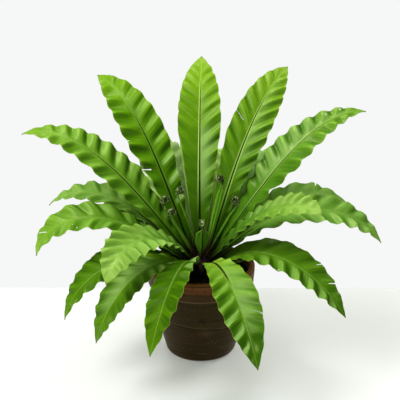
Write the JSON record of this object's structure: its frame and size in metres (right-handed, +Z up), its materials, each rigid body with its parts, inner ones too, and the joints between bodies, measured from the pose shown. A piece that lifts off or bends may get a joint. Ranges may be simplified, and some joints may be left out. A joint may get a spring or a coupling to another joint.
{
  "type": "potted fern",
  "caption": "Bird's-nest fern, a rosette of long undivided fronds with waved edges round young curled ones, growing in a plain dark fired-clay pot.",
  "frame": {"origin": "on the ground, at the middle of the flat foot of the pot", "axes": "+Z up along the axis of the pot; the side that the picture shows faces -Y; +X to the right in the picture"},
  "size_m": [0.5598, 0.5167, 0.4262],
  "materials": {
    "clay": "satin",
    "soil": "matte",
    "crown": "matte",
    "leaf": "satin",
    "young_leaf": "satin"
  },
  "bodies": {
    "root": {"pot": "clay", "soil": "soil", "crown": "crown", "frond_01": "leaf", "frond_02": "leaf", "frond_03": "leaf", "frond_04": "leaf", "frond_05": "leaf", "frond_06": "leaf", "frond_07": "leaf", "frond_08": "leaf", "frond_09": "leaf", "frond_10": "leaf", "frond_11": "leaf", "frond_12": "leaf", "frond_13": "leaf", "frond_14": "leaf", "frond_15": "leaf", "frond_16": "leaf", "frond_17": "leaf", "frond_18": "leaf", "frond_19": "leaf", "frond_20": "leaf", "frond_21": "leaf", "frond_22": "leaf", "frond_23": "leaf", "fiddlehead_1": "young_leaf", "fiddlehead_2": "young_leaf", "fiddlehead_3": "young_leaf", "fiddlehead_4": "young_leaf", "fiddlehead_5": "young_leaf", "fiddlehead_6": "young_leaf", "fiddlehead_7": "young_leaf"}
  },
  "joints": []
}
